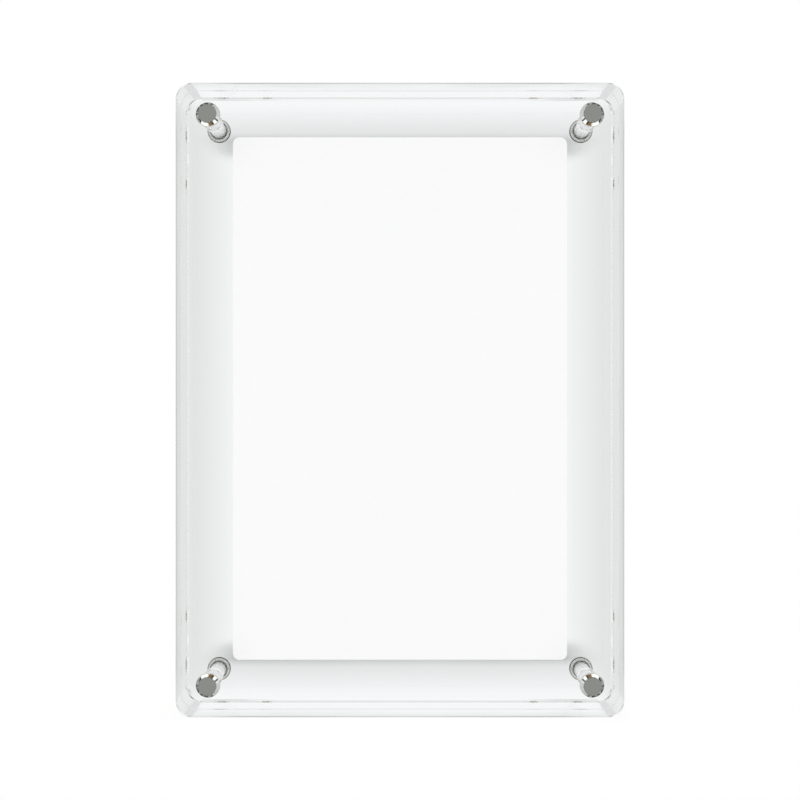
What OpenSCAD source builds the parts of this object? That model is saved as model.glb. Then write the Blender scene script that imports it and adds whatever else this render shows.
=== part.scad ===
// Block photo frame: two thick clear panels with a blank insert card between
// them, held together by four pairs of magnetic studs in the corners.
// It stands upright with +Z up and its front towards -Y. The origin is the
// middle of the underside, halfway between the outer faces.

/* [Panels] */
// Width of the block
frame_w = 148.5; // [120:0.5:200]
// Height of the block
frame_h = 210; // [170:0.5:280]
// Thickness of each clear panel
panel_t = 15; // [12:0.5:20]
// Radius of the four rounded corners
corner_r = 5.5; // [3:0.5:9]
// Width of the polished bevel round each outer face
bevel = 0.6; // [0.3:0.1:1]
// Width of the broken edge round each meeting face
edge_break = 0.1; // [0.05:0.05:0.5]
// Air film that the clamped card leaves between the panels
air_film = 0.1; // [0.05:0.05:0.2]

/* [Insert card] */
// Clear margin beside the card, on the left and the right
side_margin = 17.5; // [16:0.25:40]
// Clear margin above and below the card
end_margin = 16.25; // [16:0.25:40]
// Height of the card's middle above the block's, for a deeper margin below
card_rise = 0.5; // [0:0.25:0.5]
// Thickness of the card
card_t = 0.3; // [0.25:0.05:0.6]
// Radius of the card's corners
card_r = 2.2; // [1:0.1:4]
// Play round the card in its recess, on each side
card_play = 0.25; // [0.1:0.05:0.5]

/* [Studs] */
// Distance from the block's sides to the axis of each stud
stud_inset = 11; // [9:0.5:11.5]
// Diameter of a stud's cap
cap_d = 8; // [7.5:0.5:10]
// Height of a cap above the panel
cap_h = 2.5; // [1.5:0.1:3]
// Diameter of a cap's flat face
cap_face_d = 6; // [4:0.1:6.5]
// Height of the straight rim under a cap's sloping edge
cap_rim = 0.95; // [0.2:0.05:1.2]
// Diameter of a magnet, and of the stem that carries it
magnet_d = 5; // [4:0.1:5]
// Length of a cap's stem inside the panel
stem_l = 2; // [1.5:0.1:3]
// Play between a magnet and its bore, on each side
bore_play = 0.1; // [0.05:0.05:0.15]
// Width of the countersink at each mouth of a bore
countersink = 0.5; // [0.3:0.05:0.6]
// Set-back of a magnet's end from its panel's meeting face
magnet_setback = 0.05; // [0.05:0.05:0.3]

/* [Hidden] */
$fn = 96;
FRONT = -1;
REAR = 1;
// Each corner: its name, then its side of the middle across and up
CORNERS = [
    ["top_left", -1, 1],
    ["top_right", 1, 1],
    ["bottom_left", -1, -1],
    ["bottom_right", 1, -1],
];

card_w = frame_w - 2 * side_margin;
card_h = frame_h - 2 * end_margin;
stud_x = frame_w / 2 - stud_inset;
stud_z = frame_h / 2 - stud_inset;
bore_r = magnet_d / 2 + bore_play;
magnet_l = panel_t - stem_l - magnet_setback;
// The recess is shallower than the card is thick, so that the card is clamped.
// A hair's breadth is left on each of its faces.
card_slack = 0.025;
recess_depth = card_t + 2 * card_slack - air_film;
// Bevels on the small turned parts
rim_break = 0.25;
stem_lead = 0.3;
magnet_edge = 0.3;
// Cutters run past the faces that they open
past = 1;

// Puts children, drawn with z = 0 on a panel's outer face and +z into the
// panel, in place on the front or the rear half
module half(side) {
    translate([0, side * (panel_t + air_film / 2), frame_h / 2])
        rotate([side * 90, 0, 0])
            children();
}

// Puts children on one stud's axis. A half's own y axis points up on the rear
// half and down on the front one.
module at_stud(corner, side) {
    half(side)
        translate([corner[1] * stud_x, side * corner[2] * stud_z, 0])
            children();
}

// Cross-section of a slab w wide, bevelled low and high
function slab_section(w, t, low, high) = [
    [-w / 2 + low, 0], [w / 2 - low, 0],
    [w / 2, low], [w / 2, t - high],
    [w / 2 - high, t], [-w / 2 + high, t],
    [-w / 2, t - high], [-w / 2, low],
];

// Rounded rectangular slab with bevelled edges, lying on z = 0
module slab(w, h, t, r, low = 0, high = 0) {
    rotate([90, 0, 0])
        linear_extrude(height = h - 2 * r, center = true)
            polygon(slab_section(w, t, low, high));
    rotate([90, 0, 90])
        linear_extrude(height = w - 2 * r, center = true)
            polygon(slab_section(h, t, low, high));
    for (x = [-1, 1], y = [-1, 1])
        translate([x * (w / 2 - r), y * (h / 2 - r), 0])
            rotate_extrude()
                polygon([
                    [0, 0], [r - low, 0], [r, low],
                    [r, t - high], [r - high, t], [0, t],
                ]);
}

// Plain rounded rectangular plate, lying on z = 0
module plate(w, h, t, r) {
    for (size = [[w, h - 2 * r], [w - 2 * r, h]])
        translate([-size[0] / 2, -size[1] / 2, 0])
            cube([size[0], size[1], t]);
    for (x = [-1, 1], y = [-1, 1])
        translate([x * (w / 2 - r), y * (h / 2 - r), 0])
            cylinder(h = t, r = r);
}

// Bore for a stud, countersunk at both mouths
module bore() {
    rotate_extrude()
        polygon([
            [0, -past],
            [bore_r + countersink + past, -past],
            [bore_r, countersink],
            [bore_r, panel_t - countersink],
            [bore_r + countersink + past, panel_t + past],
            [0, panel_t + past],
        ]);
}

// One clear panel with its four bores, outer face down
module clear_panel() {
    difference() {
        slab(frame_w, frame_h, panel_t, corner_r, bevel, edge_break);
        for (c = CORNERS)
            translate([c[1] * stud_x, c[2] * stud_z, 0])
                bore();
    }
}

module front_panel() {
    color("azure", 0.35)
        half(FRONT)
            clear_panel();
}

// The rear panel has the shallow recess that keeps the card in place
module rear_panel() {
    color("azure", 0.35)
        half(REAR)
            difference() {
                clear_panel();
                translate([0, card_rise, panel_t - recess_depth])
                    plate(
                        card_w + 2 * card_play,
                        card_h + 2 * card_play,
                        recess_depth + past,
                        card_r + card_play
                    );
            }
}

// Blank card, cut with rounded corners, flat in the recess
module insert_card() {
    color("white")
        half(REAR)
            translate([0, card_rise, panel_t - recess_depth + card_slack])
                plate(card_w, card_h, card_t, card_r);
}

// Turned cap: a flat face and a sloping edge outside the panel, a flange that
// bears on it, and a short stem in the bore
module stud_cap() {
    color("silver")
        rotate_extrude()
            polygon([
                [0, -cap_h],
                [cap_face_d / 2, -cap_h],
                [cap_d / 2, -cap_rim - rim_break],
                [cap_d / 2, -rim_break],
                [cap_d / 2 - rim_break, 0],
                [magnet_d / 2, 0],
                [magnet_d / 2, stem_l - stem_lead],
                [magnet_d / 2 - stem_lead, stem_l],
                [0, stem_l],
            ]);
}

// Rod magnet from the end of the stem to just short of the meeting face
module stud_magnet() {
    color("gainsboro")
        translate([0, 0, stem_l])
            rotate_extrude()
                polygon([
                    [0, 0],
                    [magnet_d / 2 - magnet_edge, 0],
                    [magnet_d / 2, magnet_edge],
                    [magnet_d / 2, magnet_l - magnet_edge],
                    [magnet_d / 2 - magnet_edge, magnet_l],
                    [0, magnet_l],
                ]);
}

front_panel();
rear_panel();
insert_card();
for (c = CORNERS) {
    at_stud(c, FRONT) stud_cap();
    at_stud(c, FRONT) stud_magnet();
    at_stud(c, REAR) stud_cap();
    at_stud(c, REAR) stud_magnet();
}
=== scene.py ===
"""The looks of a magnetic block photo frame: two clear cast panels clamp a blank
card, and chrome-capped magnetic studs in the corners hold them together."""
import math

import bmesh
import bpy
from mathutils import Matrix, Vector


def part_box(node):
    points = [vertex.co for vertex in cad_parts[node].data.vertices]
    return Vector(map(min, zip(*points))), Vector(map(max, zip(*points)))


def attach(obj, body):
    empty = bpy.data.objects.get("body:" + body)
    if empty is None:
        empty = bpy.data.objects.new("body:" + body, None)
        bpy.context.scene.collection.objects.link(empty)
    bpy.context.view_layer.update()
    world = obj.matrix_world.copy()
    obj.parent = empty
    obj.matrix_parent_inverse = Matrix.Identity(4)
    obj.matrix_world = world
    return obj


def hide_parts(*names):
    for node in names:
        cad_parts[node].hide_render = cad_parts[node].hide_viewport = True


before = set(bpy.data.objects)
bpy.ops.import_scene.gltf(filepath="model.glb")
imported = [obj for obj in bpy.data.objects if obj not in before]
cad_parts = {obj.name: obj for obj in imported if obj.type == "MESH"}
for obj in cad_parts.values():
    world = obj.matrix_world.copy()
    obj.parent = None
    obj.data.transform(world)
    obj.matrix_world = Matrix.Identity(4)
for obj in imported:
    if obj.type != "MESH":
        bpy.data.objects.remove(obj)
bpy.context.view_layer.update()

MM = 0.001
FRONT = -1
REAR = 1
SIDES = {"front": FRONT, "rear": REAR}
CORNERS = {
    "top_left": (-1, 1),
    "top_right": (1, 1),
    "bottom_left": (-1, -1),
    "bottom_right": (1, -1),
}

# Places and sizes that the frame gives
panel_low, panel_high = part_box("rear_panel")
cap_low, cap_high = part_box("rear_cap_top_right")
magnet_low, magnet_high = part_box("rear_magnet_top_right")
card_low, card_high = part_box("insert_card")
frame_w = panel_high.x - panel_low.x
frame_h = panel_high.z - panel_low.z
outer_y = panel_high.y
meeting_y = panel_low.y
middle = Vector((0, 0, (panel_low.z + panel_high.z) / 2))
stud_x = (cap_low.x + cap_high.x) / 2
stud_z = (cap_low.z + cap_high.z) / 2 - middle.z
cap_r = (cap_high.x - cap_low.x) / 2
cap_h = cap_high.y - outer_y
magnet_r = (magnet_high.x - magnet_low.x) / 2
magnet_l = magnet_high.y - magnet_low.y
stem_l = outer_y - magnet_high.y

# Sizes that the panels' and studs' construction gives
CORNER_R = 5.5 * MM
BEVEL = 0.6 * MM
EDGE_BREAK = 0.1 * MM
BORE_PLAY = 0.1 * MM
COUNTERSINK = 0.5 * MM
CARD_R = 2.2 * MM
CARD_PLAY = 0.25 * MM
CARD_SLACK = 0.025 * MM
CAP_FACE_R = 3.0 * MM
CAP_RIM = 0.95 * MM
RIM_BREAK = 0.25 * MM
STEM_LEAD = 0.3 * MM
MAGNET_EDGE = 0.3 * MM
# Air that polishing leaves between a panel's face and a cap's flange
FACE_FILM = 0.02 * MM

# Reach of the small arcs that polishing, turning and tumbling leave on the edges
PANEL_EASE = 0.06 * MM
BORE_EASE = 0.08 * MM
CAP_EASE = 0.1 * MM
MAGNET_EASE = 0.07 * MM
# Width of the card's broken edge
CARD_EDGE = 0.04 * MM

# Fineness of the meshes
CORNER_STEPS = 20
TURNED_STEPS = 128
EASE_STEPS = 3
# An arc takes up this share of the shorter of its two sides at most
EASE_SHARE = 0.3
# The points that keep the shading straight lie this many reaches from the corner
HOLD = 1.5
# A face whose normal runs along Y at least this much is flat
FLAT = 0.9999
# Places of a clear panel's finishes in its list of materials; the countersinks' finish is frosted by
# grinding and darkened by painted shade
POLISHED, DRILLED, SHADED_SINK_FINISH = range(3)


# Outlines and profiles

def rounded_rectangle(width, height, radius, rise=0.0):
    """Points round a rectangle with round corners in the X-Z plane, about the block's middle or a
    rise above it."""
    points = []
    for sign_x, sign_z, start in ((1, 1, 0), (-1, 1, 90), (-1, -1, 180), (1, -1, 270)):
        for step in range(CORNER_STEPS + 1):
            turn = math.radians(start + 90 * step / CORNER_STEPS)
            x = sign_x * (width / 2 - radius) + radius * math.cos(turn)
            z = sign_z * (height / 2 - radius) + radius * math.sin(turn)
            points.append((x, middle.z + rise + z))
    return points


def circle(radius, centre=(0.0, 0.0), steps=TURNED_STEPS):
    turns = [2 * math.pi * step / steps for step in range(steps)]
    return [(centre[0] + radius * math.cos(t), centre[1] + radius * math.sin(t)) for t in turns]


def eased(profile, ease):
    """The profile with each inner corner rounded by a small arc, and held by a point on either side,
    beyond which the shading is straight."""
    points = [profile[0]]
    for before, corner, after in zip(profile, profile[1:], profile[2:]):
        corner = Vector(corner)
        into, away = corner - Vector(before), Vector(after) - corner
        reach = min(ease, EASE_SHARE * into.length, EASE_SHARE * away.length)
        start, end = corner - reach * into.normalized(), corner + reach * away.normalized()
        points.append(tuple(corner - HOLD * reach * into.normalized()))
        for step in range(EASE_STEPS + 1):
            t = step / EASE_STEPS
            points.append(tuple((1 - t) ** 2 * start + 2 * t * (1 - t) * corner + t * t * end))
        points.append(tuple(corner + HOLD * reach * away.normalized()))
    return points + [profile[-1]]


# Meshes

def add_ring(mesh, outline, y):
    return [mesh.verts.new((x, y, z)) for x, z in outline]


def join_rings(mesh, first, second):
    for index in range(len(first)):
        after = (index + 1) % len(first)
        mesh.faces.new((first[index], first[after], second[after], second[index]))


def add_wall(mesh, outlines):
    """A closed wall through outlines, each with its y, and its first and last ring."""
    rings = [add_ring(mesh, outline, y) for outline, y in outlines]
    for first, second in zip(rings, rings[1:]):
        join_rings(mesh, first, second)
    return rings[0], rings[-1]


def fill_between(mesh, loops):
    """A flat face between an outer loop and the loops inside it."""
    edges = []
    for loop in loops:
        for index, vert in enumerate(loop):
            pair = (vert, loop[(index + 1) % len(loop)])
            edges.append(mesh.edges.get(pair) or mesh.edges.new(pair))
    bmesh.ops.triangle_fill(mesh, edges=edges, use_beauty=True)


def finish_piece(name, mesh, body, materials, nodes, place=None):
    """Turns the mesh into an object that stands for its CAD nodes and rides on their body."""
    bmesh.ops.recalc_face_normals(mesh, faces=mesh.faces)
    data = bpy.data.meshes.new(name)
    mesh.to_mesh(data)
    mesh.free()
    for polygon in data.polygons:
        polygon.use_smooth = abs(polygon.normal.y) < FLAT
    for material in materials:
        data.materials.append(material)
    piece = bpy.data.objects.new(name, data)
    bpy.context.scene.collection.objects.link(piece)
    if place is not None:
        piece.matrix_world = place
    normals = piece.modifiers.new("large faces lead the shading", "WEIGHTED_NORMAL")
    normals.mode = "FACE_AREA"
    normals.weight = 60
    normals.keep_sharp = True
    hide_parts(*nodes)
    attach(piece, body)
    return piece


def clear_panel(side_name, finishes):
    """One clear panel: polished bevels, four countersunk bores and, at the rear, the card's recess."""
    side = SIDES[side_name]
    mesh = bmesh.new()
    outer = outer_y - FACE_FILM
    profile = eased([
        (BEVEL, outer),
        (0, outer - BEVEL),
        (0, meeting_y + EDGE_BREAK),
        (EDGE_BREAK, meeting_y),
    ], PANEL_EASE)
    edge = [
        (rounded_rectangle(frame_w - 2 * inset, frame_h - 2 * inset, CORNER_R - inset), side * y)
        for inset, y in profile
    ]
    outer_loops, meeting_loops = [[loop] for loop in add_wall(mesh, edge)]
    bore_r = magnet_r + BORE_PLAY
    bore_profile = eased([
        (bore_r + COUNTERSINK, outer),
        (bore_r, outer - COUNTERSINK),
        (bore_r, meeting_y + COUNTERSINK),
        (bore_r + COUNTERSINK, meeting_y),
    ], BORE_EASE)
    for across, up in CORNERS.values():
        axis = (across * stud_x, middle.z + up * stud_z)
        others = set(mesh.faces)
        first, last = add_wall(mesh, [(circle(r, axis), side * y) for r, y in bore_profile])
        for face in set(mesh.faces) - others:
            # Faces under a cap take the finish that painted shade darkens
            under_cap = abs(face.calc_center_median().y) > outer - COUNTERSINK
            face.material_index = SHADED_SINK_FINISH if under_cap else DRILLED
        outer_loops.append(first)
        meeting_loops.append(last)
    if side == REAR:
        card_rise = (card_low.z + card_high.z) / 2 - middle.z
        recess = rounded_rectangle(
            card_high.x - card_low.x + 2 * CARD_PLAY,
            card_high.z - card_low.z + 2 * CARD_PLAY,
            CARD_R + CARD_PLAY,
            card_rise,
        )
        rim, floor = add_wall(mesh, [(recess, meeting_y), (recess, card_high.y + CARD_SLACK)])
        meeting_loops.append(rim)
        mesh.faces.new(floor)
    fill_between(mesh, outer_loops)
    fill_between(mesh, meeting_loops)
    name = side_name + "_clear_panel"
    return finish_piece(name, mesh, side_name, finishes, [side_name + "_panel"])


def turned(name, profile, body, material, node, place):
    """A part turned about its own Y axis from a profile of (radius, y), closed by flat ends."""
    mesh = bmesh.new()
    first, last = add_wall(mesh, [(circle(r), y) for r, y in profile])
    mesh.faces.new(first)
    mesh.faces.new(last)
    return finish_piece(name, mesh, body, [material], [node], place)


def photo_card(material):
    """The blank card, with its cut edge just broken."""
    mesh = bmesh.new()
    width, height = card_high.x - card_low.x, card_high.z - card_low.z
    rise = (card_low.z + card_high.z) / 2 - middle.z
    profile = [
        (CARD_EDGE, card_low.y),
        (0, card_low.y + CARD_EDGE),
        (0, card_high.y - CARD_EDGE),
        (CARD_EDGE, card_high.y),
    ]
    first, last = add_wall(mesh, [
        (rounded_rectangle(width - 2 * inset, height - 2 * inset, CARD_R - inset, rise), y)
        for inset, y in profile
    ])
    mesh.faces.new(first)
    mesh.faces.new(last)
    return finish_piece("blank_photo_card", mesh, "card", [material], ["insert_card"])


def stud(side_name, corner, chrome, nickel):
    """One half of a stud: its cap, whose stem sits in the bore, and the magnet behind the stem."""
    side = SIDES[side_name]
    across, up = CORNERS[corner]
    place = Matrix.Translation((across * stud_x, side * outer_y, middle.z + up * stud_z))
    if side == FRONT:
        place @= Matrix.Rotation(math.pi, 4, "Z")
    # A profile that runs halfway in over a flat end has that end's rim eased too
    cap_profile = eased([
        (magnet_r - STEM_LEAD, -stem_l),
        (magnet_r, -stem_l + STEM_LEAD),
        (magnet_r, 0),
        (cap_r - RIM_BREAK, 0),
        (cap_r, RIM_BREAK),
        (cap_r, RIM_BREAK + CAP_RIM),
        (CAP_FACE_R, cap_h),
        (0.5 * CAP_FACE_R, cap_h),
    ], CAP_EASE)
    magnet_profile = eased([
        (0.5 * magnet_r, -stem_l - magnet_l),
        (magnet_r - MAGNET_EDGE, -stem_l - magnet_l),
        (magnet_r, -stem_l - magnet_l + MAGNET_EDGE),
        (magnet_r, -stem_l - MAGNET_EDGE),
        (magnet_r - MAGNET_EDGE, -stem_l),
        (0.5 * magnet_r, -stem_l),
    ], MAGNET_EASE)
    for part, profile, slot, material in (
        ("cap", cap_profile, "chromed_brass", chrome),
        ("magnet", magnet_profile, "nickel_magnet", nickel),
    ):
        turned(
            f"{side_name}_stud_{part}_{corner}",
            profile,
            side_name,
            material,
            f"{side_name}_{part}_{corner}",
            place,
        )


# Materials

# Widths of the patterns in the materials, as they are drawn
RIPPLE_WIDTH = 30 * MM
GRAIN_WIDTH = 0.4 * MM
FIBRE_WIDTH = 0.8 * MM
RING_STEP = 0.25 * MM
# A wave texture of scale 1 repeats about this often
WAVE_WIDTH = 0.3125


def add_node(tree, kind, inputs=None, stops=(), **settings):
    """Adds a node with its settings. An input is a value or the socket that feeds it, and stops are a
    colour ramp's places and colours."""
    node = tree.nodes.new(kind)
    for index, (place, colour) in enumerate(stops):
        stop = node.color_ramp.elements[index] if index < 2 else node.color_ramp.elements.new(place)
        stop.position = place
        stop.color = colour
    for name, value in settings.items():
        setattr(node, name, value)
    for name, value in (inputs or {}).items():
        if isinstance(value, bpy.types.NodeSocket):
            tree.links.new(value, node.inputs[name])
        else:
            node.inputs[name].default_value = value
    return node


def linear(code):
    """A colour written as sRGB hex, in linear light."""
    levels = [int(code[at:at + 2], 16) / 255 for at in (1, 3, 5)]
    return [c / 12.92 if c <= 0.04045 else ((c + 0.055) / 1.055) ** 2.4 for c in levels] + [1.0]


def new_material(name):
    material = bpy.data.materials.new(name)
    material.use_nodes = True
    material.node_tree.nodes.clear()
    return material, material.node_tree


def cast_acrylic(finish, roughness, clarity, tone):
    """Cast acrylic sheet, sawn to size with diamond-polished edges: water-clear, with the faint
    ripple of the casting in its faces, and it lets the room's light through to the card. Its bores
    are only drilled, which leaves them satin, and the countersinks under the caps are frosted by
    grinding and given a dark grey tone, which is painted shade."""
    material, tree = new_material("cast acrylic, " + finish)
    place = add_node(tree, "ShaderNodeTexCoord").outputs["Object"]
    ripple = add_node(
        tree, "ShaderNodeTexNoise",
        {"Vector": place, "Scale": 1 / RIPPLE_WIDTH, "Detail": 1.0},
    )
    bump = add_node(
        tree, "ShaderNodeBump",
        {"Height": ripple.outputs["Fac"], "Strength": 0.02, "Distance": 1.0 * MM},
    )
    surface = add_node(tree, "ShaderNodeBsdfPrincipled", {
        "Base Color": linear(tone),
        "Roughness": roughness,
        "IOR": 1.49,
        "Transmission Weight": clarity,
        "Normal": bump.outputs["Normal"],
    })
    # One face lets about this share of the light pass
    clear = add_node(tree, "ShaderNodeBsdfTransparent", {"Color": (0.93, 0.93, 0.93, 1)})
    shadow_ray = add_node(tree, "ShaderNodeLightPath").outputs["Is Shadow Ray"]
    mix = add_node(
        tree, "ShaderNodeMixShader",
        {0: shadow_ray, 1: surface.outputs[0], 2: clear.outputs[0]},
    )
    add_node(tree, "ShaderNodeOutputMaterial", {"Surface": mix.outputs[0]})
    return material


def chromed_brass():
    """Turned brass, polished and chrome-plated: a cool mirror with the lathe's finest rings, drawn
    coarser than its feed of about 0.1 mm, so that they show."""
    material, tree = new_material("chrome-plated brass, turned")
    place = add_node(tree, "ShaderNodeTexCoord").outputs["Object"]
    rings = add_node(
        tree, "ShaderNodeTexWave",
        {"Vector": place, "Scale": WAVE_WIDTH / RING_STEP, "Distortion": 0.0},
        wave_type="RINGS", rings_direction="Y",
    )
    bump = add_node(
        tree, "ShaderNodeBump",
        {"Height": rings.outputs["Fac"], "Strength": 0.02, "Distance": 0.02 * MM},
    )
    surface = add_node(tree, "ShaderNodeBsdfPrincipled", {
        "Base Color": linear("#D0D2CF"),
        "Metallic": 1.0,
        "Roughness": 0.06,
        "Normal": bump.outputs["Normal"],
    })
    add_node(tree, "ShaderNodeOutputMaterial", {"Surface": surface.outputs[0]})
    return material


def nickel_magnet():
    """Sintered magnet, tumbled and nickel-plated: a warm satin metal with a fine grain, drawn
    coarser than the real one, so that it shows."""
    material, tree = new_material("nickel-plated magnet, tumbled")
    place = add_node(tree, "ShaderNodeTexCoord").outputs["Object"]
    grain = add_node(
        tree, "ShaderNodeTexNoise",
        {"Vector": place, "Scale": 1 / GRAIN_WIDTH, "Detail": 2.0},
    )
    bump = add_node(
        tree, "ShaderNodeBump",
        {"Height": grain.outputs["Fac"], "Strength": 0.1, "Distance": 0.02 * MM},
    )
    surface = add_node(tree, "ShaderNodeBsdfPrincipled", {
        "Base Color": linear("#D9D3C7"),
        "Metallic": 1.0,
        "Roughness": 0.25,
        "Normal": bump.outputs["Normal"],
    })
    add_node(tree, "ShaderNodeOutputMaterial", {"Surface": surface.outputs[0]})
    return material


def card_stock():
    """Matt coated card stock: bright white, with the soft tooth of its fibres, drawn coarser than
    they are, so that it shows."""
    material, tree = new_material("card stock, matt coated")
    place = add_node(tree, "ShaderNodeTexCoord").outputs["Object"]
    fibres = add_node(
        tree, "ShaderNodeTexNoise",
        {"Vector": place, "Scale": 1 / FIBRE_WIDTH, "Detail": 3.0},
    )
    tone = add_node(tree, "ShaderNodeValToRGB", {"Fac": fibres.outputs["Fac"]}, stops=[
        (0.0, linear("#FAFAFA")),
        (1.0, linear("#FCFCFC")),
    ])
    bump = add_node(
        tree, "ShaderNodeBump",
        {"Height": fibres.outputs["Fac"], "Strength": 0.1, "Distance": 0.05 * MM},
    )
    surface = add_node(tree, "ShaderNodeBsdfPrincipled", {
        "Base Color": tone.outputs["Color"],
        "Roughness": 0.7,
        "Normal": bump.outputs["Normal"],
    })
    add_node(tree, "ShaderNodeOutputMaterial", {"Surface": surface.outputs[0]})
    return material


# Studio

# Light from all round, at which a colour renders about as it is written
ROOM_LIGHT = 1.0
# The painted reflection of white sheets, which only metal mirrors, is this many times as bright as the
# room
PAINTED_SHEET_LIGHT = 1.6
# Share of the floor's own shading that the camera sees in its white
SHADE_SHARE = 0.3
FLOOR_SIZE = 6.0
# The floor lies a hair's breadth below the block
FLOOR_GAP = 0.02 * MM

# Lean of a line of sight, for each unit of depth, past the block's side and past its top
SIDE_LEAN = 0.2
TOP_LEAN = 0.285
# The shades beside and above the block blend within this much of the line between them
LEAN_BLEND = 0.12
# Depths, as shares of a line of sight's length, at which what it meets changes. Below zero it runs
# forward, and above zero it runs back.
LEVEL_DEPTH = -0.008
BEHIND_DEPTH = 0.15
BACK_DEPTH = 0.375
STEEP_DEPTH = 0.575
WIDE_DEPTH = 0.85


def studio_floor():
    """A white sheet under the block, which the camera sees as white as the room, with the block's
    shadow."""
    bpy.ops.mesh.primitive_grid_add(
        x_subdivisions=8,
        y_subdivisions=8,
        size=FLOOR_SIZE,
        location=(0, 0, -FLOOR_GAP),
    )
    floor = bpy.context.object
    floor.name = "studio_floor"
    material, tree = new_material("white paper sheet")
    paper = add_node(tree, "ShaderNodeBsdfDiffuse", {"Color": (1, 1, 1, 1)})
    glow = add_node(tree, "ShaderNodeEmission", {"Color": (1, 1, 1, 1), "Strength": 1.0})
    seen = add_node(
        tree, "ShaderNodeMixShader",
        {0: SHADE_SHARE, 1: glow.outputs[0], 2: paper.outputs[0]},
    )
    bounce = add_node(tree, "ShaderNodeBsdfDiffuse", {"Color": (0.9, 0.9, 0.9, 1)})
    path = add_node(tree, "ShaderNodeLightPath")
    mix = add_node(
        tree, "ShaderNodeMixShader",
        {0: path.outputs["Is Camera Ray"], 1: bounce.outputs[0], 2: seen.outputs[0]},
    )
    add_node(tree, "ShaderNodeOutputMaterial", {"Surface": mix.outputs[0]})
    floor.data.materials.append(material)
    # Clear acrylic and metal show the room and not this sheet, whose far edge would cross them
    floor.visible_transmission = False
    floor.visible_glossy = False


def painted_reflection_round_metal(tree, path, depth, x, y, z):
    """Painted reflection, which only metal sees, by the angle round the Y axis: white sheets with
    black and brown gaps before the block, white ones level with it, and dark and grey ones behind it."""
    turn = add_node(tree, "ShaderNodeMath", {0: z, 1: x}, operation="ARCTAN2").outputs[0]
    share = add_node(tree, "ShaderNodeMath", {0: turn, 1: math.pi / 2}, operation="DIVIDE").outputs[0]
    before = add_node(tree, "ShaderNodeValToRGB", {"Fac": share}, stops=[
        (0.22, linear("#DDDEE0")),
        (0.25, linear("#0C0C0C")),
        (0.34, linear("#0C0C0C")),
        (0.37, linear("#FFFFFF")),
        (0.61, linear("#FFFFFF")),
        (0.63, linear("#0C0C0C")),
        (0.71, linear("#0C0C0C")),
        (0.73, linear("#7A6244")),
    ]).outputs["Color"]
    level = add_node(tree, "ShaderNodeValToRGB", {"Fac": share}, stops=[
        (0.30, linear("#DDDEE0")),
        (0.40, linear("#FFFFFF")),
    ]).outputs["Color"]
    behind = add_node(tree, "ShaderNodeValToRGB", {"Fac": share}, stops=[
        (0.38, linear("#101010")),
        (0.41, linear("#D0D2D0")),
    ]).outputs["Color"]
    backs = add_node(tree, "ShaderNodeValToRGB", {"Fac": y}, stops=[
        (0.35, linear("#FFFFFF")),
        (0.40, linear("#2E302E")),
        (0.74, linear("#2E302E")),
        (0.80, linear("#AAACA9")),
    ]).outputs["Color"]
    # Where metal mirrors the panel's own face, the painted reflection shows the white sheets without
    # their gaps
    twice = add_node(
        tree, "ShaderNodeMath", {0: path["Glossy Depth"], 1: 1.5}, operation="GREATER_THAN",
    ).outputs[0]
    is_level = add_node(
        tree, "ShaderNodeMath", {0: depth, 1: LEVEL_DEPTH}, operation="GREATER_THAN",
    ).outputs[0]
    gapless = add_node(tree, "ShaderNodeMath", {0: is_level, 1: twice}, operation="MAXIMUM").outputs[0]
    is_behind = add_node(
        tree, "ShaderNodeMath", {0: depth, 1: BEHIND_DEPTH}, operation="GREATER_THAN",
    ).outputs[0]
    is_back = add_node(
        tree, "ShaderNodeMath", {0: y, 1: BACK_DEPTH}, operation="GREATER_THAN",
    ).outputs[0]
    around = before
    for choice, colour in ((gapless, level), (is_behind, behind), (is_back, backs)):
        around = add_node(
            tree, "ShaderNodeMix", {"Factor": choice, 6: around, 7: colour}, data_type="RGBA",
        ).outputs[2]
    return around


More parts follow.
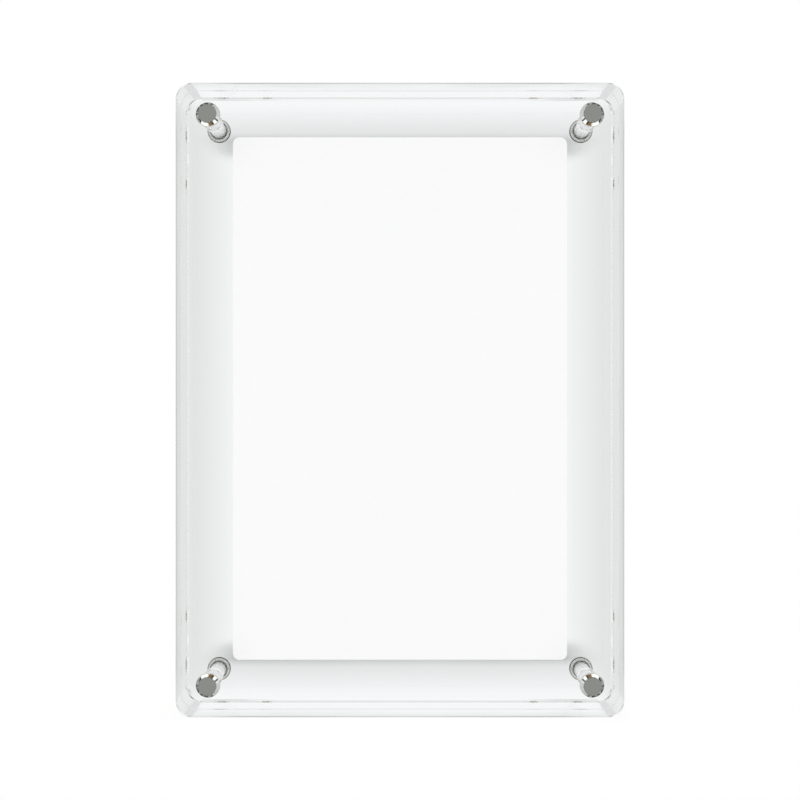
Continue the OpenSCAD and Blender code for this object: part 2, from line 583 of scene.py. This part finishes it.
def painted_shade_through_panels(tree, path, x, y, z, around):
    """What clear panels show, all painted shade that only rays through them see: soft greys beside
    and above the block, which draw its outline, what its edges mirror, and through both panels what
    metal mirrors too."""
    mirrored_inside = add_node(
        tree, "ShaderNodeMath", {0: path["Glossy Depth"], 1: 0.5}, operation="GREATER_THAN",
    ).outputs[0]
    # How far a line of sight leans to the side and up, and which of the two leads
    sideways = add_node(tree, "ShaderNodeMath", {0: x, 1: y}, operation="DIVIDE").outputs[0]
    upwards = add_node(tree, "ShaderNodeMath", {0: z, 1: y}, operation="DIVIDE").outputs[0]
    side_share = add_node(
        tree, "ShaderNodeMath", {0: sideways, 1: SIDE_LEAN}, operation="DIVIDE",
    ).outputs[0]
    top_share = add_node(
        tree, "ShaderNodeMath", {0: upwards, 1: TOP_LEAN}, operation="DIVIDE",
    ).outputs[0]
    lead = add_node(
        tree, "ShaderNodeMath", {0: top_share, 1: side_share}, operation="SUBTRACT",
    ).outputs[0]
    zone = add_node(
        tree, "ShaderNodeMapRange",
        {"Value": lead, "From Min": -LEAN_BLEND, "From Max": LEAN_BLEND},
        interpolation_type="SMOOTHSTEP",
    ).outputs["Result"]
    # Painted shade seen straight through the panels and through their bevels
    beside = add_node(tree, "ShaderNodeValToRGB", {"Fac": sideways}, stops=[
        (0.160, linear("#F6F8F7")),
        (0.192, linear("#E7E9E8")),
        (0.225, linear("#E3E5E4")),
        (0.245, linear("#CFD1D0")),
        (0.312, linear("#CFD1D0")),
        (0.328, linear("#FDFEFE")),
    ]).outputs["Color"]
    above = add_node(tree, "ShaderNodeValToRGB", {"Fac": upwards}, stops=[
        (0.226, linear("#FAFBFB")),
        (0.236, linear("#B9BBBA")),
        (0.248, linear("#B9BBBA")),
        (0.251, linear("#E4E6E6")),
        (0.280, linear("#FAFCFD")),
    ]).outputs["Color"]
    # Painted shade mirrored by the panels' edges
    edge_beside = add_node(tree, "ShaderNodeValToRGB", {"Fac": sideways}, stops=[
        (0.160, linear("#F6F8F7")),
        (0.192, linear("#E6E8E7")),
        (0.208, linear("#E6E8E7")),
        (0.212, linear("#DADCDB")),
        (0.224, linear("#EEF0EF")),
    ]).outputs["Color"]
    edge_above = add_node(tree, "ShaderNodeValToRGB", {"Fac": upwards}, stops=[
        (0.250, linear("#E8EAEA")),
        (0.280, linear("#FAFCFD")),
        (0.295, linear("#FAFCFD")),
        (0.301, linear("#EEF0F0")),
        (0.325, linear("#E0E2E2")),
    ]).outputs["Color"]
    direct, from_edges = [
        add_node(tree, "ShaderNodeMix", {"Factor": zone, 6: low, 7: high}, data_type="RGBA").outputs[2]
        for low, high in ((beside, above), (edge_beside, edge_above))
    ]
    straight = add_node(
        tree, "ShaderNodeMix", {"Factor": mirrored_inside, 6: direct, 7: from_edges}, data_type="RGBA",
    ).outputs[2]
    # Painted shade mirrored inside and let out at a wide angle
    wide = add_node(tree, "ShaderNodeValToRGB", {"Fac": y}, stops=[
        (0.09, linear("#9A9C9A")),
        (0.15, linear("#E6E8E7")),
        (0.60, linear("#E6E8E7")),
        (0.80, linear("#F6F7F7")),
    ]).outputs["Color"]
    is_wide = add_node(
        tree, "ShaderNodeMath", {0: y, 1: WIDE_DEPTH}, operation="LESS_THAN",
    ).outputs[0]
    from_wide = add_node(
        tree, "ShaderNodeMath", {0: mirrored_inside, 1: is_wide}, operation="MULTIPLY",
    ).outputs[0]
    # Mirrored two or three times and seen through both panels, which have four faces
    few_times = add_node(
        tree, "ShaderNodeMath", {0: path["Glossy Depth"], 1: 2.5, 2: 0.6}, operation="COMPARE",
    ).outputs[0]
    both_panels = add_node(
        tree, "ShaderNodeMath", {0: path["Transmission Depth"], 1: 3.5}, operation="GREATER_THAN",
    ).outputs[0]
    is_steep = add_node(
        tree, "ShaderNodeMath", {0: y, 1: STEEP_DEPTH}, operation="LESS_THAN",
    ).outputs[0]
    few_both = add_node(
        tree, "ShaderNodeMath", {0: few_times, 1: both_panels}, operation="MULTIPLY",
    ).outputs[0]
    past = add_node(tree, "ShaderNodeMath", {0: few_both, 1: is_steep}, operation="MULTIPLY").outputs[0]
    through = straight
    for choice, colour in ((from_wide, wide), (past, around)):
        through = add_node(
            tree, "ShaderNodeMix", {"Factor": choice, 6: through, 7: colour}, data_type="RGBA",
        ).outputs[2]
    return through


def studio_room():
    """A white room, as the camera sees it. Clear panels show painted shade, soft greys of it, and metal
    shows a painted reflection of its white sheets, the gaps between them and the grey behind the
    camera; its left half mirrors its right half."""
    world = bpy.data.worlds.new("white room")
    bpy.context.scene.world = world
    world.use_nodes = True
    tree = world.node_tree
    tree.nodes.clear()

    sight = add_node(tree, "ShaderNodeTexCoord").outputs["Generated"]
    parts = add_node(tree, "ShaderNodeSeparateXYZ", {"Vector": sight}).outputs
    x, y, z = [
        add_node(tree, "ShaderNodeMath", {0: part}, operation="ABSOLUTE").outputs[0] for part in parts
    ]
    path = add_node(tree, "ShaderNodeLightPath").outputs
    around = painted_reflection_round_metal(tree, path, parts["Y"], x, y, z)
    through = painted_shade_through_panels(tree, path, x, y, z, around)
    # Metal inside the block, or seen through it, mirrors painted shade: the dark side of the room
    # before it
    deep = add_node(
        tree, "ShaderNodeMath", {0: path["Transmission Depth"], 1: 0.5}, operation="GREATER_THAN",
    ).outputs[0]
    mirrored = add_node(
        tree, "ShaderNodeMix", {"Factor": deep, 6: around, 7: linear("#4A4C4A")}, data_type="RGBA",
    ).outputs[2]
    painted_sheets = add_node(tree, "ShaderNodeMapRange", {
        "Value": y,
        "From Min": 0.15,
        "From Max": 0.17,
        "To Min": PAINTED_SHEET_LIGHT,
        "To Max": ROOM_LIGHT,
    }).outputs[0]
    # Light on the card and on the floor is plain white
    lit = add_node(
        tree, "ShaderNodeMath", {0: path["Diffuse Depth"], 1: 0.5}, operation="GREATER_THAN",
    ).outputs[0]
    sights = [
        (path["Is Glossy Ray"], mirrored, painted_sheets),
        (path["Is Transmission Ray"], through, 1.0),
        (lit, (1, 1, 1, 1), ROOM_LIGHT),
        (path["Is Camera Ray"], (1, 1, 1, 1), 1.0),
    ]
    shown = add_node(
        tree, "ShaderNodeBackground",
        {"Color": (1, 1, 1, 1), "Strength": ROOM_LIGHT},
    ).outputs[0]
    for choice, colour, strength in sights:
        light = add_node(
            tree, "ShaderNodeBackground",
            {"Color": colour, "Strength": strength},
        ).outputs[0]
        shown = add_node(tree, "ShaderNodeMixShader", {0: choice, 1: shown, 2: light}).outputs[0]
    add_node(tree, "ShaderNodeOutputWorld", {"Surface": shown})


# Widths of the photograph and of the block's front face in it, in pixels
PHOTO_PX = 800
BLOCK_PX = 449.6
# Distance from the front face at which the rear edges show as far in as in the photograph
CAMERA_DISTANCE = 347 * MM


def camera():
    """The photograph's view, from straight in front of the block's middle."""
    data = bpy.data.cameras.new("camera")
    view_width = PHOTO_PX / BLOCK_PX * frame_w
    data.lens = data.sensor_width * CAMERA_DISTANCE / view_width
    data.clip_start = 10 * MM
    data.clip_end = 20.0
    eye = bpy.data.objects.new("camera", data)
    eye.location = (0, -outer_y - CAMERA_DISTANCE, middle.z)
    eye.rotation_euler = (math.pi / 2, 0, 0)
    bpy.context.scene.collection.objects.link(eye)
    bpy.context.scene.camera = eye


bpy.context.scene.view_settings.view_transform = "Standard"
# Light on the card comes through the clear panel unblurred, and so undimmed
bpy.context.scene.cycles.blur_glossy = 0.0
# Light that a panel's edge traps finds its way out
for kind in ("max", "glossy", "transmission"):
    setattr(bpy.context.scene.cycles, kind + "_bounces", 32)
finishes = [
    cast_acrylic("polished", 0.0, 1.0, "#FEFEFE"),
    cast_acrylic("drilled", 0.3, 1.0, "#FEFEFE"),
    # The countersinks' finish: frosted by grinding, with a dark grey tone that is painted shade
    cast_acrylic("ground_and_painted_shade", 0.4, 0.2, "#62645F"),
]
chrome = chromed_brass()
nickel = nickel_magnet()
for side_name in SIDES:
    clear_panel(side_name, finishes)
    for corner in CORNERS:
        stud(side_name, corner, chrome, nickel)
photo_card(card_stock())
studio_floor()
studio_room()
camera()
